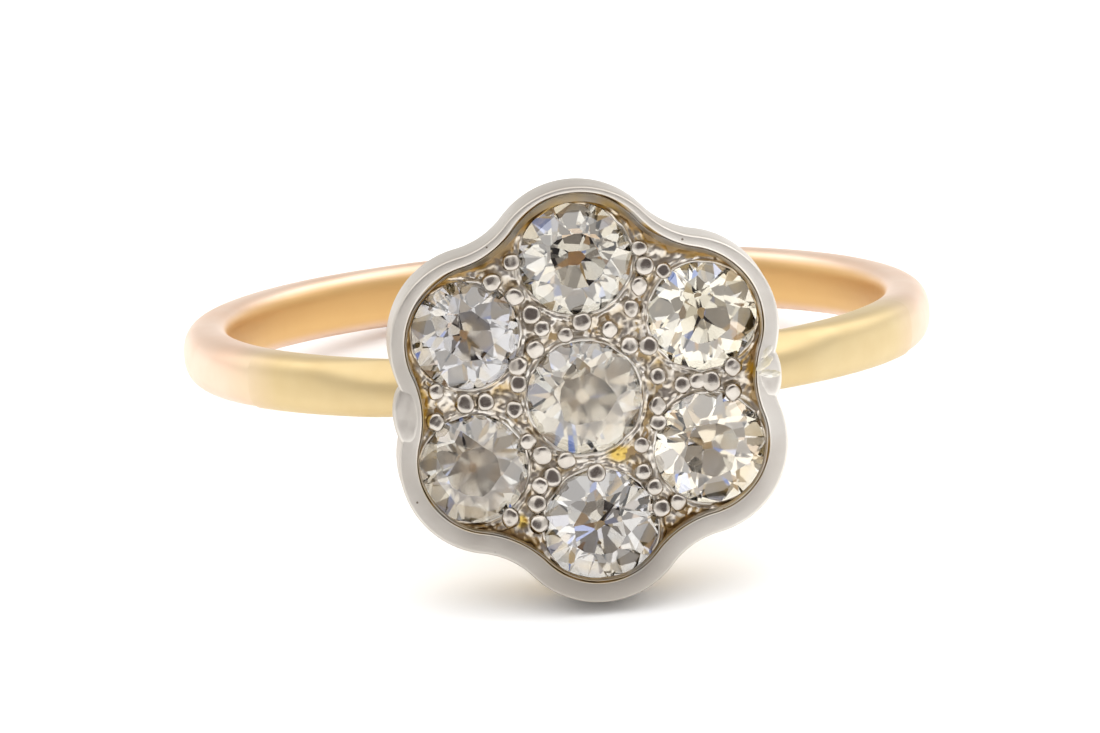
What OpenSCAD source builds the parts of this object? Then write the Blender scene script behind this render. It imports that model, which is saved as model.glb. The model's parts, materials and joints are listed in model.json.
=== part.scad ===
// Cluster ring: seven old-cut stones in a six-lobed flower setting on a slim band.
// The ring lies on its side, on the lowest lobe of the flower and the back of the band.
// Origin: the centre of the finger hole. +Z is up, the flower faces -Y. Sizes in millimetres.

/* [Finger hole] */
// Diameter of the finger hole
finger_d = 17; // [14:0.25:22]

/* [Band] */
// Width of the band at the back, along the finger
band_w = 1.62; // [1.4:0.02:2.2]
// Width of the band where it reaches the flower
neck_w = 1.44; // [1.3:0.02:2]
// Thickness of the band in the middle of its width
band_t = 1.2; // [1:0.05:1.8]
// How far the rounded outer face falls towards its edges
outer_drop = 0.45; // [0.3:0.01:0.5]
// How far the rounded inner face falls towards its edges
inner_drop = 0.28; // [0.2:0.01:0.35]
// Width of the straight middle of the inner face, which touches the finger
land_w = 0.76; // [0.6:0.02:0.9]
// How far the shoulders stand proud of the rest of the band
seam_step = 0.03; // [0.01:0.01:0.08]
// Angle from the flower to the solder seam on the left
seam_left = 58; // [40:1:80]
// Angle from the flower to the solder seam on the right
seam_right = 66; // [40:1:80]

/* [Stones] */
// Diameter of the centre stone
centre_d = 2.87; // [2.4:0.01:3.4]
// Diameter of each petal stone
petal_d = 2.8; // [2.4:0.02:3.2]
// Bare metal left between two neighbouring stones
stone_space = 0.53; // [0.45:0.01:0.8]
// Play between a stone and its seat
stone_gap = 0.03; // [0.02:0.01:0.06]
// Table width, as a share of the stone's diameter
table_share = 0.5; // [0.4:0.01:0.6]
// Crown height, as a share of the stone's diameter
crown_share = 0.16; // [0.12:0.01:0.2]
// Girdle thickness, as a share of the stone's diameter
girdle_share = 0.025; // [0.01:0.005:0.05]
// Pavilion depth, as a share of the stone's diameter
pavilion_share = 0.42; // [0.38:0.01:0.46]
// Width of the open culet, as a share of the stone's diameter
culet_share = 0.1; // [0.04:0.01:0.16]

/* [Flower setting] */
// Height of the rim above the finger
rise = 3.3; // [3.1:0.05:4.5]
// Bare plate left between a petal's seat and the rim
rim_space = 0.04; // [0.03:0.01:0.1]
// Width of the rim seen from the front
rim_w = 0.4; // [0.34:0.01:0.6]
// Height of the rim's wall, seen from the side
rim_h = 1.6; // [1.5:0.05:1.9]
// Step that eases the rim's top edges
rim_ease = 0.1; // [0.04:0.01:0.14]
// Depth from the top of the rim down to the plate
rim_depth = 0.5; // [0.4:0.01:0.6]
// Extra roundness of each lobe beyond its stone, seat and wall
lobe_ease = 0.44; // [0.35:0.01:0.5]
// How far the outline dips between two lobes
scallop = 0.64; // [0.56:0.01:0.72]
// Thickness of the pierced plate that carries the stones
plate_t = 0.8; // [0.7:0.05:0.95]
// Diameter of the open hole behind each stone
azure_d = 1.9; // [1.6:0.05:2]
// Turn of the flower on the band, as the ring was soldered
head_turn = 1.2; // [0:0.1:3]
// How far the flower sits above the middle of the band, as the ring was soldered
head_lift = 0.12; // [0:0.01:0.2]

/* [Grains] */
// Diameter of a grain
grain_d = 0.38; // [0.3:0.01:0.4]
// How far the middle of a grain stands above the plate
grain_lift = 0.06; // [0:0.01:0.1]

/* [Collet] */
// Width of the collet's foot at its widest, across the finger
foot_w = 6.4; // [6:0.1:7.2]
// Radius of each flute at the collet's foot
flute_r = 0.8; // [0.6:0.05:1]
// Step from the rim's wall in to the collet
ledge = 0.08; // [0.04:0.01:0.15]
// Thickness of the collet's wall at its top, between two lobes
collet_wall = 0.5; // [0.45:0.01:0.6]
// Width of the hollow at the finger
hollow_foot_w = 5; // [4.4:0.1:5.4]
// How far the collet's foot stays clear of the finger
foot_relief = 0.25; // [0.2:0.01:0.4]

/* [Hidden] */
$fn = 96;

petals = 6;
step = 360 / petals;
half_step = step / 2;
first_petal = 90;       // bearing of the top petal, seen from the front
first_gap = first_petal + half_step;
join = 0.1;             // how deep one soldered part reaches into the next
past = 1;               // how far a cut runs past the metal that it opens

finger_r = finger_d / 2;
band_r = finger_r + band_t;

// Rounded faces of the band: the outer one falls to its edges, the inner one from its land.
outer_dome_r = (pow(band_w / 2, 2) + pow(outer_drop, 2)) / (2 * outer_drop);
inner_dome_x = (pow(band_w / 2, 2) - pow(land_w / 2, 2) + pow(inner_drop, 2)) / (2 * inner_drop);
inner_dome_r = norm([land_w / 2, inner_dome_x]);

// Flower outline: six lobe arcs joined by six hollow arcs, each tangent to its neighbours.
stone_pitch = centre_d / 2 + stone_space + petal_d / 2;
lobe_r = petal_d / 2 + stone_gap + rim_space + rim_w + lobe_ease;
lobe_pitch = stone_pitch - lobe_ease;
reach = lobe_pitch + lobe_r;
waist = reach - scallop;
valley_r = (pow(lobe_pitch, 2) + pow(waist, 2) - 2 * lobe_pitch * waist * cos(half_step) - pow(lobe_r, 2))
    / (2 * (lobe_r - waist + lobe_pitch * cos(half_step)));
valley_pitch = waist + valley_r;

// Heights in the flower, counted from the middle of the finger hole.
rim_top = finger_r + rise;
rim_base = rim_top - rim_h;
plate_top = rim_top - rim_depth;
girdle_z = plate_top - girdle_share * petal_d;
foot_reach = lobe_pitch + flute_r;
foot_z = sqrt(pow(finger_r, 2) - pow(foot_reach, 2)) - join;

// Facet rings of a stone, as shares of its radius.
star_share = 0.76;
lower_share = 0.5;
facet_step = 45;
half_facet = facet_step / 2;
girdle_sides = 16;

// The ring leans back until the flower's lowest lobe and the back of the band touch the ground.
edge_r = band_r - outer_drop;
rest_tilt = atan2(reach - head_lift - band_w / 2, rim_base + edge_r);

module at_rest() rotate([-rest_tilt, 0, 0]) children();
module at_head() rotate([90, 0, 0]) translate([0, head_lift, 0]) rotate([0, 0, head_turn]) children();
module at_pitch(bearing, pitch) rotate([0, 0, bearing]) translate([pitch, 0, 0]) children();

module band_section() {
    intersection() {
        translate([band_r - outer_dome_r, 0]) circle(outer_dome_r);
        translate([finger_r + inner_dome_x, 0]) circle(inner_dome_r);
        translate([finger_r, -band_w]) square([band_t + past, 2 * band_w]);
    }
}

// Outer half of the band's section, a little proud of it, as it is on the shoulders.
module shoulder_section() {
    intersection() {
        translate([band_r - outer_dome_r, 0]) circle(outer_dome_r + seam_step);
        translate([finger_r + band_t / 2, -band_w]) square([band_t, 2 * band_w]);
    }
}

// The hoop.
module shank() {
    color("#e0a583") rotate_extrude() band_section();
}

// The two front stretches of the hoop, from the solder seams to the flower.
module shoulders() {
    color("#dcc27c") rotate([0, 0, -90 - seam_left])
        rotate_extrude(angle = seam_left + seam_right) shoulder_section();
}

// The space between the two sides of the band, which comes narrower towards the flower.
module band_sides() {
    long = band_r + past;
    spread = (band_w - neck_w) / (4 * band_r);
    middle_w = (band_w + neck_w) / 4;
    wide = middle_w + spread * long;
    slim = middle_w - spread * long;
    rotate([90, 0, 90])
        translate([0, 0, -long])
            linear_extrude(2 * long)
                polygon([[long, wide], [-long, slim], [-long, -slim], [long, -wide]]);
}

module band() {
    intersection() {
        union() {
            shank();
            shoulders();
        }
        band_sides();
    }
}

// Fluted cone under the flower, cut away below to clear the finger.
module collet() {
    tall = rim_base + join - foot_z;
    color("#dcc27c") difference() {
        translate([0, 0, foot_z]) {
            cylinder(h = tall, r1 = foot_w / 2, r2 = waist - ledge);
            for (k = [0 : petals - 1])
                at_pitch(first_petal + k * step, lobe_pitch)
                    cylinder(h = tall, r1 = flute_r, r2 = lobe_r - ledge);
        }
        rotate([0, 0, -head_turn]) rotate([90, 0, 0])
            cylinder(h = 4 * reach, r = finger_r + foot_relief, center = true);
    }
}

// Open space behind the stones, from the plate to the finger.
module head_hollow() {
    base = foot_z - past;
    top = plate_top - plate_t;
    top_r = waist - ledge - collet_wall;
    taper = (top_r - hollow_foot_w / 2) / (top - finger_r);
    translate([0, 0, base])
        cylinder(h = top - base, r1 = hollow_foot_w / 2 - taper * (finger_r - base), r2 = top_r);
}

// Outline of the flower from the front, grown or shrunk all round by the same width.
module flower_outline(grow) {
    lobe = lobe_pitch * [cos(half_step), sin(half_step)];
    circle(lobe_pitch);
    for (k = [0 : petals - 1]) {
        at_pitch(first_petal + k * step, lobe_pitch) circle(lobe_r + grow);
        rotate([0, 0, first_gap + k * step]) difference() {
            polygon([[0, 0], [lobe.x, -lobe.y], [valley_pitch, 0], lobe]);
            translate([valley_pitch, 0]) circle(valley_r - grow);
        }
    }
}

module flower_wall(height, outside, inside) {
    linear_extrude(height) difference() {
        flower_outline(-outside);
        flower_outline(-inside);
    }
}

// Upright wall round the flower, with its top edges eased.
module rim() {
    color("#b9b4ad") {
        translate([0, 0, rim_base]) flower_wall(rim_h - rim_ease, 0, rim_w);
        translate([0, 0, rim_top - 2 * rim_ease])
            flower_wall(2 * rim_ease, rim_ease, rim_w - rim_ease / 2);
    }
}

// Radius of the pavilion's outline at its lower facet ring, and how deep that ring lies.
function lower_r(d) = lower_share * d / 2;
function culet_side(d) = culet_share * d / 2 * cos(half_facet);
function pavilion_slope(d) = pavilion_share * d / (d / 2 - culet_side(d));
function lower_depth(d) = (d / 2 - lower_r(d) * cos(half_facet)) * pavilion_slope(d);

// Cutter for one seat: a recess for the girdle, a cone under it and the open hole behind.
module seat(d) {
    top_r = d / 2 + stone_gap;
    shelf = -girdle_share * d / 2 - stone_gap;
    cone = lower_depth(d) * (top_r - azure_d / 2) / (d / 2 - lower_r(d));
    translate([0, 0, girdle_z]) rotate_extrude()
        polygon([[0, past], [top_r, past], [top_r, shelf], [azure_d / 2, shelf - cone],
            [azure_d / 2, -plate_t - past], [0, -plate_t - past]]);
}

// Pierced plate that closes the front of the collet, with seven seats cut into it.
module plate() {
    color("#b9b4ad") difference() {
        translate([0, 0, plate_top - plate_t]) {
            cylinder(h = plate_t, r = waist - rim_w / 2);
            for (k = [0 : petals - 1])
                at_pitch(first_petal + k * step, lobe_pitch) cylinder(h = plate_t, r = lobe_r - rim_w / 2);
        }
        seat(centre_d);
        for (k = [0 : petals - 1]) at_pitch(first_petal + k * step, stone_pitch) seat(petal_d);
    }
}

// Grains that hold the stones: around the centre stone, and up each gap between two petals.
// Columns: distance along the gap, distance to each side of it.
GAP_GRAINS = [
    [0.5 * stone_pitch, 0.12 * stone_pitch],
    [0.72 * stone_pitch, 0],
    [0.9 * stone_pitch, 0],
    [1.1 * stone_pitch, 0.08 * stone_pitch]];

module grain(along, aside) {
    translate([along, aside, plate_top + grain_lift]) sphere(d = grain_d);
}

module grains() {
    between = (centre_d + stone_space) / 2;
    color("#c4beb6") for (k = [0 : petals - 1]) {
        rotate([0, 0, first_petal + k * step]) grain(between, 0);
        rotate([0, 0, first_gap + k * step]) for (g = GAP_GRAINS) {
            grain(g[0], g[1]);
            if (g[1] > 0) grain(g[0], -g[1]);
        }
    }
}

// All the metal, soldered into one piece.
module mount() {
    at_rest() union() {
        difference() {
            union() {
                band();
                at_head() collet();
            }
            at_head() head_hollow();
        }
        at_head() {
            rim();
            plate();
            grains();
        }
    }
}

function facet_ring(count, first, r, z) =
    [for (k = [0 : count - 1]) let (a = first + k * 360 / count) [r * cos(a), r * sin(a), z]];

// Old European cut: table, 8 stars, 8 kites, 16 upper and 16 lower facets, 8 mains and an open culet.
module old_cut(d) {
    r = d / 2;
    table_r = table_share * r;
    half_girdle = girdle_share * d / 2;
    crown = crown_share * d;
    star_z = half_girdle + crown * (1 - star_share * cos(half_facet)) / (1 - table_share);
    mains = 360 / facet_step;
    points = concat(
        facet_ring(mains, 0, table_r, half_girdle + crown),
        facet_ring(mains, half_facet, star_share * r, star_z),
        facet_ring(girdle_sides, 0, r, half_girdle),
        facet_ring(girdle_sides, 0, r, -half_girdle),
        facet_ring(mains, half_facet, lower_r(d), -half_girdle - lower_depth(d)),
        facet_ring(mains, half_facet, culet_share * r, -half_girdle - pavilion_share * d));
    star = mains;
    upper = star + mains;
    under = upper + girdle_sides;
    lower = under + girdle_sides;
    culet = lower + mains;
    faces = concat(
        [[for (k = [mains - 1 : -1 : 0]) k]],
        [[for (k = [0 : mains - 1]) culet + k]],
        [for (k = [0 : mains - 1]) let (n = (k + 1) % mains, g = 2 * k, h = 2 * k + 1, i = (2 * k + 2) % girdle_sides)
            each [
                [k, n, star + k],
                [n, star + n, upper + i, star + k],
                [star + k, upper + h, upper + g],
                [star + k, upper + i, upper + h],
                [upper + g, upper + h, under + h, under + g],
                [upper + h, upper + i, under + i, under + h],
                [under + g, under + h, lower + k],
                [under + h, under + i, lower + k],
                [under + i, lower + n, culet + n, culet + k, lower + k]]]);
    polyhedron(points, faces);
}

module centre_stone() {
    color("#e6e8ea") at_rest() at_head() translate([0, 0, girdle_z]) old_cut(centre_d);
}

module petal_stone(number) {
    color("#e6e8ea") at_rest() at_head()
        at_pitch(first_petal + (number - 1) * step, stone_pitch) translate([0, 0, girdle_z]) old_cut(petal_d);
}

mount();
centre_stone();
for (k = [1 : petals]) petal_stone(k);
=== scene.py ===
"""Cluster ring: seven old-cut stones in a six-lobed platinum flower on a rose and yellow gold band.

Each piece is made in millimetres at the bench and then set in its place in the ring, in metres.
"""

import json
import math
import random

import bpy
from mathutils import Matrix, Vector, noise


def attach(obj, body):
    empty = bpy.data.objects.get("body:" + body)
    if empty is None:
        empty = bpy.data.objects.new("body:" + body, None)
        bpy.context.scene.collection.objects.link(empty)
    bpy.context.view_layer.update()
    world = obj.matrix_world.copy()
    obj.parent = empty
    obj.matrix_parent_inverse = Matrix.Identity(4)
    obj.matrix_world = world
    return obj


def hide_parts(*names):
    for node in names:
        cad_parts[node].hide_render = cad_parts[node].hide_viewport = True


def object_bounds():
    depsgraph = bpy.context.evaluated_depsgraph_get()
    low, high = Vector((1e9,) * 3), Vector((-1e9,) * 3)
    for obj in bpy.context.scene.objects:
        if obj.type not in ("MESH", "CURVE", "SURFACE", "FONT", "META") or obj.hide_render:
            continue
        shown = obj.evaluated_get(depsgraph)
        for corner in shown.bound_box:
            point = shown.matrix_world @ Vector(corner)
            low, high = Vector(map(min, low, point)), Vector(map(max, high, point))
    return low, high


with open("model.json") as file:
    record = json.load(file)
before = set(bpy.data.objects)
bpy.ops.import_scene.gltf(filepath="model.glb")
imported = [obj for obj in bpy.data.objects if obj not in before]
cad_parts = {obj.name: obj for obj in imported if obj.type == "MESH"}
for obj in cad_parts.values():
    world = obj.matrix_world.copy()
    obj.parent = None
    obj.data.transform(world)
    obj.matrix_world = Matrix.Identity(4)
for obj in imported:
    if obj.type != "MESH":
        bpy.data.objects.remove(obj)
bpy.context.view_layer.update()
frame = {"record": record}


# Shank
# The back two thirds of the band, a rose gold wire with a rounded outside and a flatter inside.
# It is bent round a mandrel, and soldered at both ends to the yellow gold shoulders.

BENCH_TO_METRES = Matrix.Scale(0.001, 4)
hole_axis = Vector(frame["record"]["mounts"][0]["axis"])
RING_PLACE = Matrix.Rotation(-math.atan2(hole_axis.y, hole_axis.z), 4, "X")

FINGER_R = 8.5
BAND_R = 9.7
BAND_MIDDLE_R = 9.02
BAND_W = 1.62
NECK_W = 1.44
SECTION_POINTS = 48
INNER_POWER = 3.0
# the inside of the band is painted a deeper orange as a painted reflection of the gold across the
# hoop: how far out from the finger hole it reaches, and over how much it fades
INNER_REFLECTION_DEPTH = 0.14
INNER_REFLECTION_FADE = 0.1
# bearings round the band are in degrees from the flower
SEAM_LEFT = -58
SEAM_RIGHT = 66
SEAM_BLEND = 7
# near the flower the lower half of the band is cut in, and the upper outer edge is filed away
CUT_IN_START = 7.74
CUT_IN_LENGTH = 0.9
CUT_IN_SHARE = 0.12
SCOOP_START = 43
SCOOP_LENGTH = 11
SCOOP_SHARE = 0.85


def clamp(level):
    """Keeps a level between 0 and 1."""
    return min(1, max(0, level))


def clear_bench():
    """Leaves object mode with nothing selected, so that the next tool works on its own piece."""
    if bpy.context.mode != "OBJECT":
        bpy.ops.object.mode_set(mode="OBJECT")
    bpy.ops.object.select_all(action="DESELECT")


def take(piece):
    """Makes one piece the selected and active one."""
    clear_bench()
    piece.select_set(True)
    bpy.context.view_layer.objects.active = piece


def recalculate_normals(piece):
    take(piece)
    bpy.ops.object.mode_set(mode="EDIT")
    bpy.ops.mesh.select_all(action="SELECT")
    bpy.ops.mesh.normals_make_consistent(inside=False)
    bpy.ops.object.mode_set(mode="OBJECT")


def smooth(piece, angle=40):
    take(piece)
    bpy.ops.object.shade_smooth_by_angle(angle=math.radians(angle))


def mark(piece, name, level_at):
    """Writes a level from 0 to 1 at each point of a piece, for its metal to read."""
    marks = piece.data.attributes.new(name, "FLOAT", "POINT")
    for vertex, level in zip(piece.data.vertices, marks.data):
        level.value = clamp(level_at(vertex))


def set_in_ring(piece, name, place, finish):
    """Names a piece, moves its mesh from the bench to its place, and gives it its finish."""
    piece.name = piece.data.name = name
    piece.data.transform(place @ BENCH_TO_METRES)
    piece.data.materials.clear()
    piece.data.materials.append(finish)
    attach(piece, "root")


def wire(tree, node, inputs):
    """Gives each of these inputs of a node a value, or the output of another node."""
    for name, value in inputs.items():
        socket = node.inputs[name]
        if isinstance(value, bpy.types.NodeSocket):
            tree.links.new(value, socket)
        elif socket.type == "RGBA":
            socket.default_value = (*value, 1)
        else:
            socket.default_value = value


def add_node(tree, kind, output, inputs=None, **settings):
    """Adds a node with its settings and inputs, and returns the output that is asked for."""
    node = tree.nodes.new("ShaderNode" + kind)
    for name, value in settings.items():
        setattr(node, name, value)
    wire(tree, node, inputs or {})
    return node.outputs[output]


def add_ramp(tree, level, stops):
    """Turns a level into a colour, through stops that have a position and a colour each."""
    colour = add_node(tree, "ValToRGB", "Color", {"Fac": level})
    elements = colour.node.color_ramp.elements
    for position, _ in stops[2:]:
        elements.new(position)
    for element, (position, stop_colour) in zip(elements, stops):
        element.position, element.color = position, (*stop_colour, 1)
    return colour


def between(tree, value, start, end):
    """Turns a value into a share: 0 up to the start, and 1 from the end on."""
    inputs = {"Value": value, "From Min": start, "From Max": end}
    return add_node(tree, "MapRange", "Result", inputs)


def mixed(tree, share, first, second):
    """Mixes two colours, each a value or the output of a node, by the share of the second."""
    return add_node(tree, "MixRGB", "Color", {"Fac": share, "Color1": first, "Color2": second})


def worked_metal(name, colour, shade, roughness, grain=0.06, tint_mm=3.0):
    """Polished and worn metal: cloudy colour, uneven polish, and fine marks left by the years."""
    material = bpy.data.materials.new(name)
    material.use_nodes = True
    tree = material.node_tree
    place = add_node(tree, "TexCoord", "Object")

    def cloud(size_mm, detail, rough=0.5):
        inputs = {"Vector": place, "Scale": 1000 / size_mm, "Detail": detail, "Roughness": rough}
        return add_node(tree, "TexNoise", "Fac", inputs)

    tint = add_ramp(tree, cloud(tint_mm, 4), [(0.35, shade), (0.65, colour)])
    polish = add_node(tree, "MapRange", "Result", {
        "Value": cloud(0.7, 6, 0.6), "To Min": roughness * 0.75, "To Max": roughness * 1.3,
    })
    marks = add_node(tree, "Bump", "Normal", {
        "Height": cloud(0.12, 5, 0.7), "Strength": grain, "Distance": 0.00003,
    })
    wire(tree, tree.nodes["Principled BSDF"], {
        "Metallic": 1, "Base Color": tint, "Roughness": polish, "Normal": marks,
    })
    return material


def mix_in(material, share, colour, socket="Base Color"):
    """Mixes a colour into what a socket of the metal already gets."""
    tree = material.node_tree
    metal = tree.nodes["Principled BSDF"]
    before = metal.inputs[socket].links[0].from_socket
    wire(tree, metal, {socket: mixed(tree, share, before, colour)})


def tint_where(material, attribute, colour, start=0, end=1, socket="Base Color"):
    """Mixes a colour into a metal where its mesh is marked, between two levels of the mark."""
    tree = material.node_tree
    level = add_node(tree, "Attribute", "Fac", attribute_name=attribute)
    mix_in(material, between(tree, level, start, end), colour, socket)


def band_section(outer_power):
    """Section of the band: distance from the middle of the hole, and height along the finger."""
    points = []
    for k in range(SECTION_POINTS):
        angle = 2 * math.pi * k / SECTION_POINTS
        c, s = math.cos(angle), math.sin(angle)
        power = 2 / (outer_power if c > 0 else INNER_POWER)
        bulge = (BAND_R if c > 0 else FINGER_R) - BAND_MIDDLE_R
        points.append((
            BAND_MIDDLE_R + bulge * abs(c) ** power,
            math.copysign(BAND_W / 2 * abs(s) ** power, s),
        ))
    return points


def band_bearing(point):
    """Degrees round the band from the flower, positive to the right."""
    return math.degrees(math.atan2(point.x, -point.y))


def file_band(piece):
    """Narrows the band evenly from back to flower, cuts it in there, and files its edge away."""
    for vertex in piece.data.vertices:
        point = vertex.co
        toward_back = (1 + point.y / BAND_R) / 2
        point.z *= (NECK_W + (BAND_W - NECK_W) * toward_back) / BAND_W
        if point.z < 0:
            point.z *= 1 - CUT_IN_SHARE * clamp((-point.y - CUT_IN_START) / CUT_IN_LENGTH)
        bulge = point.xy.length - BAND_MIDDLE_R
        if point.z > 0 and bulge > 0:
            scoop = clamp((SCOOP_START - abs(band_bearing(point))) / SCOOP_LENGTH)
            filed = SCOOP_SHARE * bulge * scoop * (2 * point.z / BAND_W) ** 2
            point.xy *= 1 - filed / (BAND_MIDDLE_R + bulge)


def inner_reflection_level(vertex):
    """Painted reflection of the gold across the hoop: 1 on the inside of the band, and 0 where it
    has turned into the sides.
    """
    return (FINGER_R + INNER_REFLECTION_DEPTH - vertex.co.xy.length) / INNER_REFLECTION_FADE


def seam_level(vertex):
    """1 at a soldered seam, and 0 away from it."""
    bearing = band_bearing(vertex.co)
    return 1 - min(abs(bearing - SEAM_LEFT), abs(bearing - SEAM_RIGHT)) / SEAM_BLEND


def bend_band(first, last, steps, outer_power):
    """Spins the band's section round the finger hole, between two bearings."""
    clear_bench()
    bpy.ops.mesh.primitive_circle_add(vertices=SECTION_POINTS, radius=1, fill_type="NGON")
    piece = bpy.context.object
    start = math.radians(first)
    for vertex, (out, up) in zip(piece.data.vertices, band_section(outer_power)):
        vertex.co = (out * math.sin(start), -out * math.cos(start), up)
    bpy.ops.object.mode_set(mode="EDIT")
    bpy.ops.mesh.select_all(action="SELECT")
    bpy.ops.mesh.spin(
        steps=steps, angle=-math.radians(last - first), center=(0, 0, 0), axis=(0, 0, 1)
    )
    bpy.ops.object.mode_set(mode="OBJECT")
    file_band(piece)
    # marks the inside of the band for its painted reflection
    mark(piece, "inner_reflection", inner_reflection_level)
    mark(piece, "seam", seam_level)
    recalculate_normals(piece)
    smooth(piece)
    return piece


SEAM_GOLD = (0.70, 0.55, 0.37)
rose_gold = worked_metal("rose_gold", (0.83, 0.64, 0.50), (0.79, 0.57, 0.42), 0.38, grain=0.04)
tint_where(rose_gold, "seam", SEAM_GOLD)
# painted reflection: the inside of the shank is painted deeper orange for the gold across the hoop
# mirrored in it
tint_where(rose_gold, "inner_reflection", (0.68, 0.43, 0.18))
shank = bend_band(SEAM_RIGHT, 360 + SEAM_LEFT, steps=150, outer_power=2.4)
set_in_ring(shank, "shank", RING_PLACE, rose_gold)
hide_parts("mount")


# Shoulders
# The two front stretches of the band, yellow gold, filed a little flatter than the shank.
# They are soldered to the shank at the seams and to the collet under the flower.

UNDER_FLOWER = 17

yellow_gold = worked_metal(
    "yellow_gold", (0.68, 0.545, 0.31), (0.64, 0.49, 0.26), 0.45, grain=0.05
)
tint_where(yellow_gold, "seam", SEAM_GOLD)
# painted reflection: the inside of the shoulders is painted deeper orange for the gold across the
# hoop mirrored in it
tint_where(yellow_gold, "inner_reflection", (0.72, 0.49, 0.21))
for name, first, last, steps in (
    ("shoulder_left", SEAM_LEFT, -UNDER_FLOWER, 30),
    ("shoulder_right", UNDER_FLOWER, SEAM_RIGHT, 34),
):
    shoulder = bend_band(first, last, steps, outer_power=3.0)
    set_in_ring(shoulder, name, RING_PLACE, yellow_gold)
    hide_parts("mount")


# Collet
# The yellow gold cone under the flower, with a flute below each lobe and open behind the stones.
# It is soldered to the shoulders, and its foot is filed hollow to clear the finger.

# the flower is set on the band a degree off true and a tenth of a millimetre too high
HEAD_TURN = Matrix.Rotation(math.radians(1.2), 4, "Z")
HEAD_LIFT = Matrix.Translation((0, 0.00012, 0))
FACING_OUT = Matrix.Rotation(math.pi / 2, 4, "X")
HEAD_PLACE = RING_PLACE @ FACING_OUT @ HEAD_LIFT @ HEAD_TURN

PETALS = 6
STEP = 60
LOBE_R = 2.31
LOBE_PITCH = 2.925
VALLEY_DEPTH = 0.64
REACH = LOBE_PITCH + LOBE_R
WAIST = REACH - VALLEY_DEPTH
COLLET_FOOT = 7.53
COLLET_TOP = 10.3
COLLET_FOOT_R = 3.2
FLUTE_FOOT_R = 0.8
COLLET_INSET = 0.08
FINGER_ROOM = 0.25


def apply_modifier(piece, kind, **settings):
    """Adds a modifier with these settings and applies it at once."""
    take(piece)
    modifier = piece.modifiers.new(kind.title(), kind)
    for name, value in settings.items():
        setattr(modifier, name, value)
    bpy.ops.object.modifier_apply(modifier=modifier.name)


def cut(piece, cutter):
    """Cuts one shape out of a piece and throws the cutter away."""
    apply_modifier(piece, "BOOLEAN", operation="DIFFERENCE", object=cutter, solver="EXACT")
    bpy.data.objects.remove(cutter)


def weld(piece, other):
    """Makes another shape one with a piece."""
    apply_modifier(piece, "BOOLEAN", operation="UNION", object=other, solver="EXACT")
    bpy.data.objects.remove(other)


def cone(x, y, low, high, r_low, r_high):
    clear_bench()
    bpy.ops.mesh.primitive_cone_add(
        vertices=96, radius1=r_low, radius2=r_high, depth=high - low,
        location=(x, y, (low + high) / 2),
    )
    bpy.ops.object.transform_apply()
    return bpy.context.object


def petal_place(k, pitch):
    """Where petal k lies on the face of the flower; petal 0 is the top one."""
    bearing = math.radians(90 + k * STEP)
    return pitch * math.cos(bearing), pitch * math.sin(bearing)


def finger_rod(radius):
    """A rod through the finger hole, as it lies in the flower's frame."""
    clear_bench()
    bpy.ops.mesh.primitive_cylinder_add(vertices=256, radius=radius, depth=20)
    rod = bpy.context.object
    rod.data.transform((FACING_OUT @ HEAD_TURN).inverted())
    return rod


collet = cone(0, 0, COLLET_FOOT, COLLET_TOP, COLLET_FOOT_R, WAIST - COLLET_INSET)
for k in range(PETALS):
    x, y = petal_place(k, LOBE_PITCH)
    weld(collet, cone(x, y, COLLET_FOOT, COLLET_TOP, FLUTE_FOOT_R, LOBE_R - COLLET_INSET))
cut(collet, finger_rod(FINGER_R + FINGER_ROOM))
cut(collet, cone(0, 0, low=6.5, high=10.6, r_low=0.985, r_high=4.09075))
apply_modifier(collet, "REMESH", mode="VOXEL", voxel_size=0.055)
apply_modifier(collet, "SMOOTH", factor=0.5, iterations=6)
smooth(collet, 60)
set_in_ring(collet, "collet", HEAD_PLACE, yellow_gold)
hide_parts("mount")


# Rim
# The platinum wall round the flower, bent from strip into six lobes and soldered round the plate.
# A groove, dark with dirt and painted shade, and a thin lip run along the inside of its flat face,
# and below them a bevel goes down to the plate, darker towards it with dirt and painted shade. The
# face is thin at the top lobe and wide at the bottom one.

RIM_TOP = 11.8
RIM_BASE = 10.2
PLATE_TOP = 11.3
ARC_POINTS = 28
LOOP_POINTS = 2 * PETALS * ARC_POINTS
WALL_DROP = 0.03
PIT_SPACING = 0.55
PIT_R = 0.035
# where the gold behind the platinum shows: x, y, half width and half height
GOLD_PLACES = [
    (0.68, -1.62, 0.50, 0.36),
    (-4.3, -0.15, 0.5, 0.8),
    (-1.9, -3.1, 0.25, 0.3),
    (4.2, 0.2, 0.3, 0.3),
]


def outline(width, height):
    """Loop round the flower, moved out by a width, which may be a function of the bearing."""
    half = math.radians(STEP / 2)
    # each valley is a hollow arc that reaches in to the waist and touches the lobes beside it
    to_lobe = LOBE_PITCH * math.cos(half)
    valley_r = (LOBE_PITCH**2 + WAIST**2 - 2 * WAIST * to_lobe - LOBE_R**2) / (
        2 * (LOBE_R - WAIST + to_lobe)
    )
    valley_pitch = WAIST + valley_r
    lobe_arc = math.atan2(valley_pitch * math.sin(half), valley_pitch * math.cos(half) - LOBE_PITCH)
    valley_arc = lobe_arc - half
    loop = []
    for k in range(PETALS):
        lobe = math.radians(90 + k * STEP)
        valley = lobe + half
        # a valley is seen from outside, so its radius is negative and its way out points back
        arcs = (
            (lobe, LOBE_PITCH, LOBE_R, lobe - lobe_arc, lobe + lobe_arc),
            (valley, valley_pitch, -valley_r, valley + valley_arc, valley - valley_arc),
        )
        for bearing, pitch, radius, start, end in arcs:
            for i in range(ARC_POINTS):
                way = start + (end - start) * (i + 0.5) / ARC_POINTS
                x = pitch * math.cos(bearing) + radius * math.cos(way)
                y = pitch * math.sin(bearing) + radius * math.sin(way)
                out = width(math.atan2(y, x)) if callable(width) else width
                loop.append((x + out * math.cos(way), y + out * math.sin(way), height))
    return loop


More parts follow.
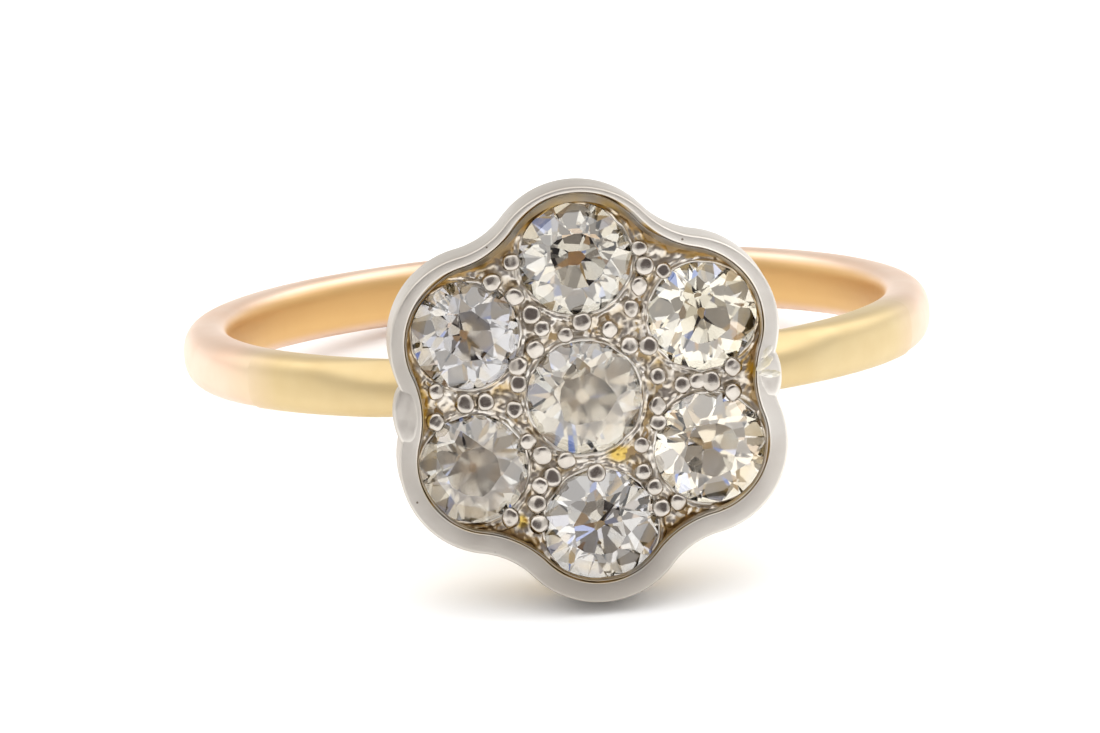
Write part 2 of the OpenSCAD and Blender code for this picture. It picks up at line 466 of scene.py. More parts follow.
def raise_wall(loops):
    """Closed wall: a ring of edges extruded once for each loop, set in place and bridged."""
    clear_bench()
    bpy.ops.mesh.primitive_circle_add(vertices=LOOP_POINTS, radius=REACH)
    piece = bpy.context.object
    bpy.ops.object.mode_set(mode="EDIT")
    bpy.ops.mesh.select_all(action="SELECT")
    for _ in loops[1:]:
        bpy.ops.mesh.extrude_region_move()
    bpy.ops.mesh.select_all(action="DESELECT")
    bpy.ops.object.mode_set(mode="OBJECT")
    for vertex in piece.data.vertices:
        loop, point = divmod(vertex.index, LOOP_POINTS)
        vertex.co = loops[loop][point]
        vertex.select = loop in (0, len(loops) - 1)
    bpy.ops.object.mode_set(mode="EDIT")
    bpy.ops.mesh.bridge_edge_loops()
    recalculate_normals(piece)
    return piece


def flat_edge(bearing):
    """Width to the inside of the rim's flat face: thin at the top lobe, wide at the bottom one."""
    return -min(0.5, 0.1 + 0.42 * ((1 - math.sin(bearing)) / 2) ** 0.42)


def lip_edge(bearing):
    """Width to the thin lip inside the groove, which the graver left narrow here and wide there."""
    wander = noise.noise(Vector((2.6 * math.cos(bearing), 2.6 * math.sin(bearing), 3.1)))
    return flat_edge(bearing) - 0.035 - 0.13 * max(0, wander)


def bevel_edge(bearing):
    """Width to the bevel, which is always inside the lip."""
    return min(0.06 * math.sin(bearing) - 0.47, lip_edge(bearing) - 0.03)


def beside(edge, step, widest=0):
    """An edge of the rim moved out by a step, but no further than the widest."""
    return lambda bearing: min(widest, edge(bearing) + step)


# the loops of the wall, from its foot up the outside, over the face and down to the plate: how far
# each lies out from the outline, its height, and how dark it is with dirt and painted shade
RIM_LOOPS = [
    (-0.38, RIM_BASE, 0),
    (-0.05, RIM_BASE, 0),
    (-0.015, RIM_BASE + 0.015, 0),
    (0, RIM_BASE + 0.05, 0),
    (0, RIM_BASE + 0.5, 0),
    (0, RIM_TOP - 0.45, 0),
    (-0.001, RIM_TOP - 0.09, 0),
    (-0.009, RIM_TOP - 0.04, 0),
    (-0.024, RIM_TOP - 0.014, 0),
    (-0.045, RIM_TOP - 0.002, 0),
    (-0.07, RIM_TOP, 0),
    (beside(flat_edge, 0.05, widest=-0.13), RIM_TOP, 0),
    (beside(flat_edge, 0.015, widest=-0.14), RIM_TOP - 0.006, 0),
    (flat_edge, RIM_TOP - 0.02, 0.35),
    (beside(flat_edge, -0.008), RIM_TOP - 0.1, 0.85),
    (beside(lip_edge, 0.02), RIM_TOP - 0.11, 0.85),
    (beside(lip_edge, 0.008), RIM_TOP - 0.05, 0.25),
    (beside(lip_edge, -0.01), RIM_TOP - 0.045, 0.1),
    (beside(lip_edge, -0.02), RIM_TOP - 0.07, 0.25),
    (bevel_edge, RIM_TOP - 0.25, 0.5),
    (bevel_edge, RIM_TOP - 0.36, 0.55),
    (beside(bevel_edge, 0.03), PLATE_TOP + 0.04, 0.8),
    (-0.42, PLATE_TOP - 0.08, 1),
]
FIRST_INSIDE_GROOVE = 17


def dirt_and_shade_level(vertex):
    """Dirt and painted shade on the rim, by loop, in patches."""
    patchy = 0.75 + 1.3 * noise.noise(1.7 * vertex.co)
    return RIM_LOOPS[vertex.index // LOOP_POINTS][2] * patchy


def gold_level(vertex):
    """1 in the middle of a place where the gold behind shows, and 0 away from it."""
    x, y = vertex.co.xy
    return max(1 - math.hypot((x - at_x) / wide, (y - at_y) / high)
               for at_x, at_y, wide, high in GOLD_PLACES)


def gilt_level(vertex):
    """The gold behind shows only inside the groove."""
    inside = vertex.index // LOOP_POINTS >= FIRST_INSIDE_GROOVE
    return gold_level(vertex) if inside else 0


def painted_shade_level(vertex):
    """Painted shade on the platinum: darkest on the outer wall and at the bottom, lightest at the
    right.
    """
    way = vertex.co.xy.normalized()
    right, top, bottom = max(0, way.x), max(0, way.y), max(0, -way.y)
    on_wall = clamp((RIM_TOP - vertex.co.z) / WALL_DROP)
    return 0.36 + 0.34 * bottom**3 + 0.1 * top**3 - 0.36 * right + 0.45 * on_wall


def add_pits(material):
    """Small dark pits, scattered over a worn surface."""
    tree = material.node_tree
    place = add_node(tree, "TexCoord", "Object")
    far = add_node(tree, "TexVoronoi", "Distance", {"Vector": place, "Scale": 1000 / PIT_SPACING})
    size = PIT_R / PIT_SPACING
    mix_in(material, between(tree, far, size, 0.6 * size), (0.22, 0.17, 0.13))


def add_dirt_shade_and_gilt(material):
    """Platinum gone brown to black with dirt and painted shade, and gilt where the gold below
    shows.
    """
    # the brown and the near black are dirt and painted shade, the darker the higher the mark, deep
    # in a groove or hollow or beside the rim
    tint_where(material, "dirt_and_shade", (0.60, 0.42, 0.17), 0, 0.6)
    tint_where(material, "dirt_and_shade", (0.13, 0.08, 0.04), 0.6, 1)
    tint_where(material, "gilt", (0.68, 0.48, 0.13), 0.2, 0.6)
    tint_where(material, "dirt_and_shade", (0.5, 0.5, 0.5), 0.3, 1, socket="Roughness")


platinum = worked_metal(
    "platinum", (0.94, 0.90, 0.84), (0.87, 0.82, 0.75), 0.42, grain=0.12, tint_mm=1.2
)
# painted shade: the platinum is painted darker at the bottom, a little at the top and on the walls
# below its face, and left lighter at the right
tint_where(platinum, "dull", (0.40, 0.36, 0.31))
add_pits(platinum)
add_dirt_shade_and_gilt(platinum)
rim = raise_wall([outline(width, height) for width, height, _ in RIM_LOOPS])
# the rim's dirt mark is dirt with painted shade, dark in the groove and darkest down the bevel to
# the plate
mark(rim, "dirt_and_shade", dirt_and_shade_level)
mark(rim, "gilt", gilt_level)
# the dull mark is painted shade: darker at the bottom and on the walls, lighter at the right
mark(rim, "dull", painted_shade_level)
smooth(rim, 35)
set_in_ring(rim, "rim", HEAD_PLACE, platinum)
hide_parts("mount")


# Solder
# Two pools of solder that fill the rim's left and right valleys, flush with its face, where the
# shoulders meet it. The right one was touched with a file, and three bright flats are left on it.

bench_luck = random.Random(7)
DROP_R = 0.5


def wear_flat(piece, radius, power):
    """Flattens the top of a ball at the bench, the more the higher the power."""
    for vertex in piece.data.vertices:
        if vertex.co.z > 0:
            across = min(1, vertex.co.xy.length / radius)
            vertex.co.z = radius * (1 - across**power) ** (1 / power)


def drop(place, size, turn=0, lumpy=0.1, power=2, run=1):
    """A drop of solder, or one of its filed flats; run is how far down it flowed, in its height."""
    clear_bench()
    bpy.ops.mesh.primitive_uv_sphere_add(segments=48, ring_count=32, radius=DROP_R)
    blob = bpy.context.object
    wear_flat(blob, DROP_R, power)
    phase = Vector((bench_luck.uniform(0, 10), 0, 0))
    for vertex in blob.data.vertices:
        vertex.co *= 1 + lumpy * noise.noise(4 * vertex.co + phase)
        if vertex.co.z < 0:
            vertex.co.z *= run
    blob.scale = size
    blob.rotation_euler = (0, 0, math.radians(turn))
    blob.location = place
    bpy.ops.object.transform_apply()
    smooth(blob, 180)
    return blob


def join(pieces):
    """Joins pieces that are raised from one another, so that they are one mesh."""
    clear_bench()
    for piece in pieces:
        piece.select_set(True)
    bpy.context.view_layer.objects.active = pieces[0]
    bpy.ops.object.join()
    return pieces[0]


for name, place, size, run in (
    ("solder_left", (-4.56, -0.12, RIM_TOP - 0.3), (0.66, 1.55, 0.62), 3.6),
    ("solder_right", (4.52, 0.14, RIM_TOP - 0.3), (0.58, 1.35, 0.62), 3.2),
):
    pool = drop(place, size, lumpy=0.02, power=8, run=run)
    # the dull mark on the solder is painted shade, as on the rim
    mark(pool, "dull", painted_shade_level)
    set_in_ring(pool, name, HEAD_PLACE, platinum)
    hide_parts("mount")

hard_solder = worked_metal(
    "hard_solder", (0.92, 0.90, 0.86), (0.78, 0.70, 0.50), 0.5, tint_mm=0.5
)
filed_flats = join([
    drop((4.48, 0.68, RIM_TOP + 0.01), (0.40, 0.16, 0.03), turn=46, lumpy=0.12),
    drop((4.40, 0.40, RIM_TOP + 0.01), (0.52, 0.21, 0.03), turn=38, lumpy=0.12),
    drop((4.52, 0.14, RIM_TOP + 0.01), (0.48, 0.20, 0.04), turn=-6, lumpy=0.3),
])
set_in_ring(filed_flats, "filed_flats", HEAD_PLACE, hard_solder)
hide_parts("mount")


# Plate
# The pierced platinum plate inside the rim, with a seat turned for each stone and open behind it.
# It is soldered to the rim, and the grains are raised from the bare metal between the seats.

PLATE_T = 0.8
CENTRE_D = 2.87
PETAL_D = 2.8
STONE_GAP = 0.53
STONE_PITCH = CENTRE_D / 2 + STONE_GAP + PETAL_D / 2
SEAT_PLAY = 0.03
SEAT_HOLE_R = 0.95
GIRDLE_SHARE = 0.025
GIRDLE_Z = PLATE_TOP - GIRDLE_SHARE * PETAL_D

# each stone's diameter, and how far its seat was drilled off the regular place: the centre one
# first, then the petals from the top one to the left
STONES = [
    (2.87, -0.09, -0.12),
    (2.82, -0.05, -0.01),
    (2.70, 0.0, 0.01),
    (2.72, -0.07, 0.02),
    (2.88, 0.05, -0.01),
    (2.80, 0.01, 0.02),
    (2.72, 0.07, -0.03),
]


def seat_of(number):
    """A seat's middle on the face of the flower, and its stone's radius; 0 is the centre one."""
    diameter, off_x, off_y = STONES[number]
    x, y = petal_place(number - 1, STONE_PITCH) if number else (0, 0)
    return x + off_x, y + off_y, diameter / 2


SEATS = [seat_of(number) for number in range(PETALS + 1)]


def flower_block(width, low, high):
    """Solid in the outline of the flower: a flat face drawn round it and raised."""
    loop = outline(width, low)
    clear_bench()
    bpy.ops.mesh.primitive_circle_add(vertices=len(loop), radius=REACH, fill_type="NGON")
    piece = bpy.context.object
    for vertex, point in zip(piece.data.vertices, loop):
        vertex.co = point
    bpy.ops.object.mode_set(mode="EDIT")
    bpy.ops.mesh.select_all(action="SELECT")
    bpy.ops.mesh.extrude_region_move(TRANSFORM_OT_translate={"value": (0, 0, high - low)})
    recalculate_normals(piece)
    return piece


def seat_drill(x, y, stone_r):
    """Drill for one seat: straight at the girdle, a cone below it, and the open hole behind."""
    top_r = stone_r + SEAT_PLAY
    shelf = GIRDLE_Z - GIRDLE_SHARE * stone_r - SEAT_PLAY
    hole_top = shelf - (top_r - SEAT_HOLE_R)
    drill = cone(x, y, shelf, PLATE_TOP + 1, top_r, top_r)
    weld(drill, cone(x, y, hole_top, shelf + 0.01, SEAT_HOLE_R, top_r))
    weld(drill, cone(x, y, PLATE_TOP - 2 * PLATE_T, hole_top + 0.01, SEAT_HOLE_R, SEAT_HOLE_R))
    return drill


plate = flower_block(width=-0.3, low=PLATE_TOP - PLATE_T, high=PLATE_TOP - 0.1)
for seat in SEATS:
    cut(plate, seat_drill(*seat))
smooth(plate, 30)
backing = worked_metal("backing", (0.66, 0.50, 0.28), (0.48, 0.32, 0.16), 0.35, tint_mm=0.6)
set_in_ring(plate, "plate", HEAD_PLACE, backing)
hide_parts("mount")


# Cut face
# The front of the plate, worked with gravers: a raised thread round each stone, hollows between the
# grains, brown dirt and painted shade in the hollows and beside the rim, and gilt where the gold
# behind shows through.

FACE_GRID = 252
FACE_Z = PLATE_TOP - 0.02
FACE_DEPTH = 0.25
FACE_EDGE = 0.4
UNDER_STONE, UNDER_RIM = 0.01, 0.06
EDGE_CATCH, EDGE_OUT = 0.02, 0.015
THREAD_R = 0.04
# a second, finer thread runs round each stone a little way out from the first
FINE_OUT, FINE_WIDTH, FINE_HEIGHT = 0.13, 0.035, 0.05
HOLLOW_SLOPE, HOLLOW_DEPTH = 0.1, 0.07
CHIP_HEIGHT = 0.13
CHANNEL_WIDTH, CHANNEL_DEPTH = 0.2, 0.05
SHADOW_WIDTH = 0.3


def from_rim(x, y):
    """How far a place on the face is from the rim."""
    bearing = math.degrees(math.atan2(y, x))
    off_axis = math.radians((bearing - 90 + STEP / 2) % STEP - STEP / 2)
    across = LOBE_PITCH * math.sin(off_axis)
    lobe_edge = LOBE_PITCH * math.cos(off_axis) + math.sqrt(LOBE_R**2 - across**2)
    return max(lobe_edge, WAIST) - FACE_EDGE - math.hypot(x, y)


def nearest_seat(x, y):
    """How far a place on the face is from the nearest stone's edge, and that stone's seat."""
    return min((math.hypot(x - seat[0], y - seat[1]) - seat[2], seat) for seat in SEATS)


def rub(x, y, size):
    """Uneven height, as a hand-held tool leaves it, between -1 and 1."""
    return noise.noise(Vector((x / size, y / size, 7.3)))


def raise_thread(x, y, stone_r):
    """The thread of metal pushed over a stone's edge: a thin ring, uneven as the graver left it."""
    clear_bench()
    bpy.ops.mesh.primitive_torus_add(
        major_segments=160, minor_segments=12,
        major_radius=stone_r + EDGE_OUT, minor_radius=THREAD_R,
    )
    ring = bpy.context.object
    for vertex in ring.data.vertices:
        wander = rub(x + vertex.co.x, y + vertex.co.y, 0.3)
        broken = max(0, rub(x + vertex.co.x, y + vertex.co.y + 5, 0.45) + 0.1)
        vertex.co.xy *= 1 + 0.022 * wander
        vertex.co.z *= 1 + 0.7 * wander
        vertex.co += Vector((x, y, PLATE_TOP + 0.03 + 0.02 * wander - 0.4 * broken))
    return ring


def engrave(vertex):
    """Draws a point beside a stone out to its edge, and gives it the height the graver left."""
    x, y = vertex.co.xy
    gap, (seat_x, seat_y, stone_r) = nearest_seat(x, y)
    if gap < EDGE_CATCH:
        gap = EDGE_OUT
        middle = Vector((seat_x, seat_y))
        vertex.co.xy = middle + (vertex.co.xy - middle).normalized() * (stone_r + EDGE_OUT)
    fine = FINE_HEIGHT * math.exp(-(((gap - FINE_OUT) / FINE_WIDTH) ** 2))
    hollow = clamp(gap / HOLLOW_SLOPE)
    chips = CHIP_HEIGHT * (0.5 * abs(rub(x, y, 0.16)) + 0.5 * rub(x, y, 0.3))
    channel = CHANNEL_DEPTH * clamp(1 - from_rim(x, y) / CHANNEL_WIDTH)
    vertex.co.z = FACE_Z + fine + (chips - HOLLOW_DEPTH) * hollow - channel


def shadow_level(vertex):
    """Dirt and painted shade on the face: darker in the hollows and beside the rim, in patches."""
    x, y, z = vertex.co
    deep = clamp((PLATE_TOP - 0.03 - z) / HOLLOW_DEPTH)
    at_rim = clamp(1 - from_rim(x, y) / SHADOW_WIDTH)
    stain = max(0, 0.2 + 1.2 * rub(x + 9, y, 0.5))
    return 0.5 * deep * (0.3 + stain) + at_rim * (0.35 + 0.6 * stain)


clear_bench()
bpy.ops.mesh.primitive_grid_add(
    x_subdivisions=FACE_GRID, y_subdivisions=FACE_GRID, size=2 * REACH
)
cut_face = bpy.context.object
bpy.ops.object.mode_set(mode="EDIT")
bpy.ops.mesh.select_all(action="DESELECT")
bpy.ops.object.mode_set(mode="OBJECT")
for vertex in cut_face.data.vertices:
    x, y = vertex.co.xy
    vertex.select = nearest_seat(x, y)[0] < -UNDER_STONE or from_rim(x, y) < -UNDER_RIM
bpy.ops.object.mode_set(mode="EDIT")
bpy.ops.mesh.delete(type="VERT")
bpy.ops.object.mode_set(mode="OBJECT")
for vertex in cut_face.data.vertices:
    engrave(vertex)
bpy.ops.object.mode_set(mode="EDIT")
bpy.ops.mesh.select_all(action="SELECT")
bpy.ops.mesh.extrude_region_move(TRANSFORM_OT_translate={"value": (0, 0, -FACE_DEPTH)})
bpy.ops.object.mode_set(mode="OBJECT")
recalculate_normals(cut_face)
join([cut_face] + [raise_thread(*seat) for seat in SEATS])
# the face's dirt mark is painted shade in the hollows and beside the rim, with dirt in patches
mark(cut_face, "dirt_and_shade", shadow_level)
mark(cut_face, "gilt", gold_level)
smooth(cut_face, 60)
cut_platinum = worked_metal(
    "cut_platinum", (0.82, 0.78, 0.72), (0.74, 0.68, 0.60), 0.3, grain=0.1, tint_mm=0.5
)
add_dirt_shade_and_gilt(cut_platinum)
set_in_ring(cut_face, "cut_face", HEAD_PLACE, cut_platinum)
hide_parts("mount")


# Grains
# Beads of platinum pushed up from the plate with a graver and rounded with a beading tool.
# They lean over the girdles and hold the stones. Wear has flattened them, and no two are alike.

# along each gap between two petals, by its bearing: how far out each grain is, and how far aside
GRAINS_BY_GAP = {
    0: [
        (1.68, -0.91), (1.69, -0.48), (1.75, 0.25), (2.35, -0.02),
        (2.72, 0.06), (3.06, 0), (3.62, 0.33), (3.6, -0.3),
    ],
    60: [
        (1.49, -0.44), (1.65, 0.21), (1.7, -0.86), (2.35, -0.06),
        (2.96, 0), (3.55, -0.39), (3.8, 0.41), (3.45, 0.1),
    ],
    120: [
        (1.53, -0.36), (1.55, -0.89), (1.66, 0.45), (2.0, 0.02),
        (2.43, 0.04), (3.05, 0.12), (3.67, 0.39), (3.79, -0.3),
    ],
    180: [
        (1.68, -0.83), (1.71, -0.39), (1.86, 0.25), (2.56, 0),
        (3.08, 0), (3.77, -0.38), (3.84, 0.38),
    ],
    240: [
        (1.76, 0.22), (1.74, -0.85), (1.9, -0.37), (2.3, 0.1),
        (2.6, -0.1), (3.06, 0.04), (3.65, -0.41), (3.5, 0.3),
    ],
    300: [
        (1.78, -0.97), (1.86, 0.34), (2.43, 0), (2.89, 0),
        (3.44, -0.16), (3.56, 0.27),
    ],
}
GRAIN_SCALES = ((0.9, 1.06), (0.9, 1.06), (0.48, 0.62))


def in_gap(along, aside, gap):
    """Where a place in a gap lies on the face of the flower."""
    c, s = math.cos(math.radians(gap)), math.sin(math.radians(gap))
    return along * c - aside * s, along * s + aside * c


def raise_grain(x, y, diameter):
    """A bead that wear has flattened and rubbed out of true."""
    clear_bench()
    bpy.ops.mesh.primitive_uv_sphere_add(segments=24, ring_count=16, radius=diameter / 2)
    grain = bpy.context.object
    wear_flat(grain, diameter / 2, power=3)
    phase = Vector((bench_luck.uniform(0, 10), 0, 0))
    for vertex in grain.data.vertices:
        vertex.co *= 1 + 0.14 * noise.noise(5 * vertex.co + phase)
    grain.scale = [bench_luck.uniform(least, most) for least, most in GRAIN_SCALES]
    grain.rotation_euler = [bench_luck.uniform(-0.25, 0.25) for _ in range(3)]
    grain.location = (x, y, PLATE_TOP + bench_luck.uniform(0.06, 0.12))
    bpy.ops.object.transform_apply()
    return grain


grains = join([
    raise_grain(*in_gap(along, aside, gap), bench_luck.uniform(0.45, 0.53))
    for gap, places in GRAINS_BY_GAP.items()
    for along, aside in places
])
smooth(grains, 180)
bright_platinum = worked_metal(
    "bright_platinum", (0.66, 0.61, 0.55), (0.54, 0.49, 0.43), 0.22, grain=0.1, tint_mm=0.4
)
set_in_ring(grains, "grains", HEAD_PLACE, bright_platinum)
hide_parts("mount")


# Stones
# Seven old European cut diamonds, ground by hand, so that no two facets are quite alike: a small
# table, a high crown, chunky facets and an open culet. The grains hold them down in their seats,
# and dirt has crept in behind them. Each culet is painted brown, a painted view of the gold behind
# it.

MAINS = 8
MAIN_STEP = 360 / MAINS
CROWN_SHARE = 0.32
# how far each kind of facet leans from flat, in degrees, and where it meets the girdle or the crown
MAIN_LEAN, STAR_LEAN, HALF_LEAN = 32.6, 23.5, 39
LOWER_MAIN_LEAN, LOWER_HALF_LEAN = 42.8, 45.4
MAIN_OUT, HALF_OUT = 0.995, 0.985
STAR_OUT, STAR_UP = 0.76, 0.19
HAND_WANDER = 1.6
DIAMOND_IOR = 2.417
POLISH = 0.025
# the cloud in a stone: how high over the plate it lies, and how ragged its streaks make its edge
CLOUD_UP = 0.4
STREAK_MM = 0.5
RAGGED_MM = 1.6
# painted reflection: the brown given to the culets stands in for the gold behind, seen through them
CULET_PAINT = (0.42, 0.20, 0.07)
TAN_FILM, CREAM_FILM = (0.66, 0.56, 0.41), (0.74, 0.66, 0.52)


def grind(lean, bearing, out, up, side=1):
    """Grinds a flat on the stone at the bench, through a point out from its middle and up."""
    lean, bearing = math.radians(lean), math.radians(bearing)
    way = Vector((math.cos(bearing), math.sin(bearing), 0))
    upright = Vector((0, 0, side))
    bpy.ops.mesh.select_all(action="SELECT")
    bpy.ops.mesh.bisect(
        plane_co=out * way + up * upright,
        plane_no=math.sin(lean) * way + math.cos(lean) * upright,
        use_fill=True, clear_outer=True, threshold=1e-6,
    )


def cut_stone(r, seed, culet, culet_paint):
    """Old European cut: table, mains, stars and halves above, mains, halves and culet below."""
    luck = random.Random(seed)

    def near(value, amount):
        return value + luck.uniform(-amount, amount) * HAND_WANDER

    half_girdle = GIRDLE_SHARE * r
    clear_bench()
    bpy.ops.mesh.primitive_cylinder_add(
        vertices=64, radius=r, depth=2.4 * r, location=(0, 0, -0.3 * r)
    )
    stone = bpy.context.object
    bpy.ops.object.transform_apply()
    bpy.ops.object.mode_set(mode="EDIT")
    grind(0, 0, 0, half_girdle + CROWN_SHARE * r)
    for k in range(MAINS):
        main, star = MAIN_STEP * k, MAIN_STEP * (k + 0.5)
        grind(near(MAIN_LEAN, 1.6), near(main, 3), MAIN_OUT * r, half_girdle)
        grind(
            near(STAR_LEAN, 2.2), near(star, 3),
            STAR_OUT * r, half_girdle + near(STAR_UP, 0.008) * r,
        )
        grind(near(LOWER_MAIN_LEAN, 1), near(main, 2), MAIN_OUT * r, half_girdle, side=-1)
    for k in range(2 * MAINS):
        half = MAIN_STEP / 2 * (k + 0.5)
        grind(near(HALF_LEAN, 2), near(half, 3), HALF_OUT * r, half_girdle)
        grind(near(LOWER_HALF_LEAN, 1), near(half, 2), HALF_OUT * r, half_girdle, side=-1)
    grind(0, 0, 0, half_girdle + culet * r, side=-1)
    bpy.ops.object.mode_set(mode="OBJECT")
    recalculate_normals(stone)
    # the culet is marked for its painted brown, which stands in for the gold behind seen through it
    painted_culet = stone.data.attributes.new("painted_culet", "FLOAT", "FACE")
    for facet, level in zip(stone.data.polygons, painted_culet.data):
        level.value = culet_paint if facet.normal.z < -0.99 else 0
    return stone


def diamond(name, tint, film, fog, fog_place, fog_mm):
    """Diamond with a tint, a film of dirt that clouds one part of it, and a culet painted brown for
    the gold behind seen through it.
    """
    material = bpy.data.materials.new(name)
    material.use_nodes = True
    tree = material.node_tree
    place = add_node(tree, "TexCoord", "Object")
    middle = HEAD_PLACE @ BENCH_TO_METRES @ Vector((*fog_place, PLATE_TOP + CLOUD_UP))
    far = add_node(tree, "VectorMath", "Value", {0: place, 1: middle}, operation="DISTANCE")
    streaks = add_node(tree, "TexNoise", "Fac", {
        "Vector": place, "Scale": 1000 / STREAK_MM, "Detail": 3,
    })
    ragged = add_node(
        tree, "Math", "Value", {0: streaks, 1: RAGGED_MM / 1000, 2: far}, operation="MULTIPLY_ADD"
    )
    edge = (fog_mm + RAGGED_MM / 2) / 1000
    cloud = between(tree, ragged, 1.15 * edge, 0.85 * edge)
    # the culet's painted brown goes over the tint and the film
    painted_culet = add_node(tree, "Attribute", "Fac", attribute_name="painted_culet")
    dirt_and_painted_culet = mixed(tree, painted_culet, mixed(tree, cloud, tint, film), CULET_PAINT)
    dull = add_node(tree, "Math", "Value", {0: cloud, 1: fog, 2: POLISH}, operation="MULTIPLY_ADD")
    wire(tree, tree.nodes["Principled BSDF"], {
        "IOR": DIAMOND_IOR, "Transmission Weight": 1, "Base Color": dirt_and_painted_culet, "Roughness": dull,
    })
    return material


def set_stone(number, seed, tilt, tint, film, fog, fog_off, fog_mm, culet=0.83, culet_paint=0.15):
    """Cuts a stone, turns and leans it a little as it was set by eye, and puts it in its seat."""
    x, y, stone_r = SEATS[number]
    name = f"petal_diamond_{number}" if number else "centre_diamond"
    stone = cut_stone(stone_r, seed, culet, culet_paint)
    luck = random.Random(seed + 100)
    lean_axis = Vector((luck.uniform(-1, 1), luck.uniform(-1, 1), 0)).normalized()
    lean = Matrix.Rotation(math.radians(tilt), 4, lean_axis)
    turn = Matrix.Rotation(luck.uniform(0, 0.78), 4, "Z")
    stone.data.transform(Matrix.Translation((x, y, GIRDLE_Z)) @ lean @ turn)
    finish = diamond(name, tint, film, fog, (x + fog_off[0], y + fog_off[1]), fog_mm)
    set_in_ring(stone, name, HEAD_PLACE, finish)
    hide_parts(f"petal_stone_{number}" if number else "centre_stone")


# number, seed of the cutting, lean in degrees, tint, film; fog: how dense, where and how wide
set_stone(0, 3, 1.0, (0.67, 0.66, 0.60), TAN_FILM, 0.18, (0.32, -0.12), 0.9)
set_stone(1, 11, 1.0, (0.66, 0.63, 0.55), CREAM_FILM, 0.02, (-0.2, -0.6), 0.7, culet=0.78, culet_paint=1)
set_stone(2, 12, 1.5, (0.59, 0.58, 0.58), TAN_FILM, 0.12, (0.25, -0.1), 0.45, culet_paint=0.7)
set_stone(3, 13, 1.0, (0.62, 0.61, 0.56), (0.58, 0.49, 0.37), 0.2, (0.1, -0.1), 0.85, culet_paint=0.5)
set_stone(4, 14, 1.5, (0.71, 0.69, 0.66), CREAM_FILM, 0.05, (0.1, -0.7), 0.5)
set_stone(5, 15, 1.2, (1.0, 0.98, 0.90), (1.0, 0.88, 0.68), 0.07, (0.25, -0.1), 0.9)
set_stone(6, 16, 1.0, (1.0, 0.96, 0.84), (0.90, 0.83, 0.66), 0.04, (0.3, 0.2), 0.9)


# Floor, light and camera
# A plain white floor in soft studio light, and a camera with a long lens as far off as the
# photographer's, level with the upper edge of the band.

clear_bench()
bpy.ops.mesh.primitive_plane_add(size=4, location=(0, 0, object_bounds()[0].z))
floor = bpy.context.object
floor.name = "floor"
white_paper = bpy.data.materials.new("white_paper")
white_paper.use_nodes = True
paper = white_paper.node_tree
wire(paper, paper.nodes["Principled BSDF"], {"Base Color": (0.95, 0.95, 0.95), "Roughness": 0.6})
floor.data.materials.append(white_paper)

for name, place, size, power in (
    ("top_box", (0, 0.05, 0.5), (1.2, 1.0), 2.9),
    ("left_box", (-0.5, 0.3, 0.3), (0.5, 0.5), 0.6),
    ("right_box", (0.5, 0.25, 0.35), (0.5, 0.5), 0.8),
):
    softbox = bpy.data.lights.new(name, "AREA")
    softbox.shape = "RECTANGLE"
    softbox.size, softbox.size_y = size
    softbox.energy = power
    lamp = bpy.data.objects.new(name, softbox)
    lamp.location = place
    lamp.rotation_euler = (-Vector(place)).to_track_quat("-Z", "Y").to_euler()
    bpy.context.scene.collection.objects.link(lamp)

# angles of the eye in degrees and its distance in metres; the aim is off the middle, in pixels
EYE_ELEVATION = 8.9
EYE_AZIMUTH = -3.4
EYE_ROLL = 3.49
EYE_DISTANCE = 0.25
AIM_RIGHT, AIM_UP = -6.7, -36.3
PHOTO_W = 1100
METRES_PER_PIXEL = 0.001 / 38.5
SENSOR_W = 36

azimuth, elevation, roll = (math.radians(a) for a in (EYE_AZIMUTH, EYE_ELEVATION, EYE_ROLL))
level = Vector((math.cos(azimuth), math.sin(azimuth), 0))
ahead = Vector((-math.sin(azimuth), math.cos(azimuth), 0))
back = math.sin(elevation) * Vector((0, 0, 1)) - math.cos(elevation) * ahead
upright = back.cross(level)
right = math.cos(roll) * level - math.sin(roll) * upright
up = math.sin(roll) * level + math.cos(roll) * upright
aim = (AIM_RIGHT * right + AIM_UP * up) * METRES_PER_PIXEL

lens = bpy.data.cameras.new("camera")
lens.sensor_width = SENSOR_W
lens.lens = SENSOR_W * EYE_DISTANCE / (METRES_PER_PIXEL * PHOTO_W)
lens.clip_start, lens.clip_end = 0.01, 20
camera = bpy.data.objects.new("camera", lens)
turn = Matrix((right, up, back)).transposed().to_4x4()
camera.matrix_world = RING_PLACE @ Matrix.Translation(aim + back * EYE_DISTANCE) @ turn
bpy.context.scene.collection.objects.link(camera)
bpy.context.scene.camera = camera
bpy.context.scene.view_settings.view_transform = "Standard"

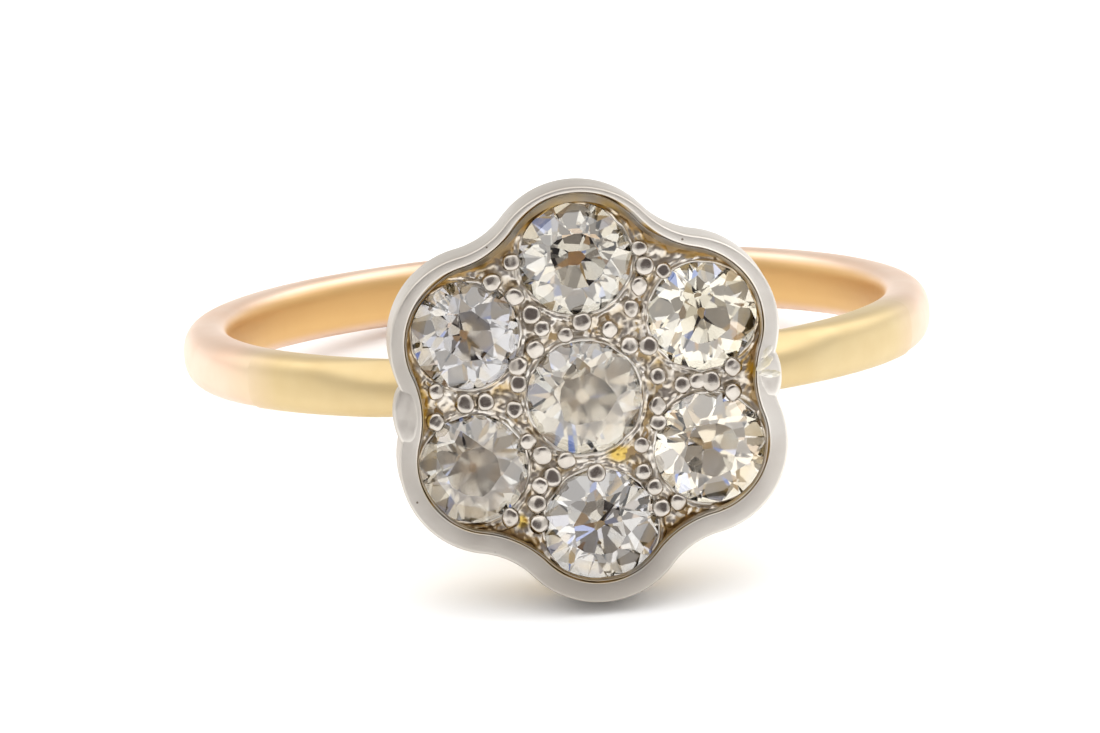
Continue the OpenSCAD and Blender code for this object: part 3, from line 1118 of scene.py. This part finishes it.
world = bpy.data.worlds.new("studio")
bpy.context.scene.world = world
world.use_nodes = True
studio = world.node_tree
heading = add_node(studio, "TexCoord", "Generated")

# what the stones mirror: mostly white screens, with brown, violet and blue things between them
SKY = [
    (0.35, (0.34, 0.21, 0.12)),
    (0.395, (0.62, 0.38, 0.18)),
    (0.415, (0.58, 0.48, 0.33)),
    (0.455, (0.74, 0.65, 0.50)),
    (0.485, (0.89, 0.87, 0.81)),
    (0.54, (0.87, 0.88, 0.90)),
    (0.58, (0.64, 0.64, 0.78)),
    (0.62, (0.45, 0.47, 0.55)),
    (0.655, (0.25, 0.38, 0.95)),
]
panels = add_node(studio, "TexNoise", "Fac", {"Vector": heading, "Scale": 5, "Detail": 1})
sky = add_ramp(studio, panels, SKY)

# the camera itself is a dark thing in the white studio, and every bead and stone reflects it
LENS_LIFT = 4
LENS_SPREAD = 29
LENS_SOFT = 3
lift = Matrix.Rotation(math.radians(-LENS_LIFT), 3, "X")
lens_way = camera.matrix_world.to_3x3() @ lift @ Vector((0, 0, 1))
toward_lens = add_node(
    studio, "VectorMath", "Value", {0: heading, 1: lens_way}, operation="DOT_PRODUCT"
)
in_lens = between(
    studio, toward_lens,
    math.cos(math.radians(LENS_SPREAD + LENS_SOFT)),
    math.cos(math.radians(LENS_SPREAD - LENS_SOFT)),
)

# metal mirrors plain screens, and the stones mirror the sky, each with its own dark lens in it
for_metal = mixed(studio, in_lens, (0.80, 0.79, 0.78), (0.14, 0.12, 0.12))
for_stones = mixed(studio, in_lens, sky, (0.36, 0.34, 0.33))
in_stone = add_node(studio, "LightPath", "Is Transmission Ray")
mirrored = mixed(studio, in_stone, for_metal, for_stones)

# what is lit softly, and what is seen past the ring, gets the plain white of the studio
seen = add_node(studio, "LightPath", "Is Camera Ray")
soft = add_node(studio, "LightPath", "Is Diffuse Ray")
plain = add_node(studio, "Math", "Value", {0: seen, 1: soft}, operation="MAXIMUM")
light = mixed(studio, plain, mirrored, (1.05, 1.05, 1.05))
wire(studio, studio.nodes["Background"], {"Color": light})
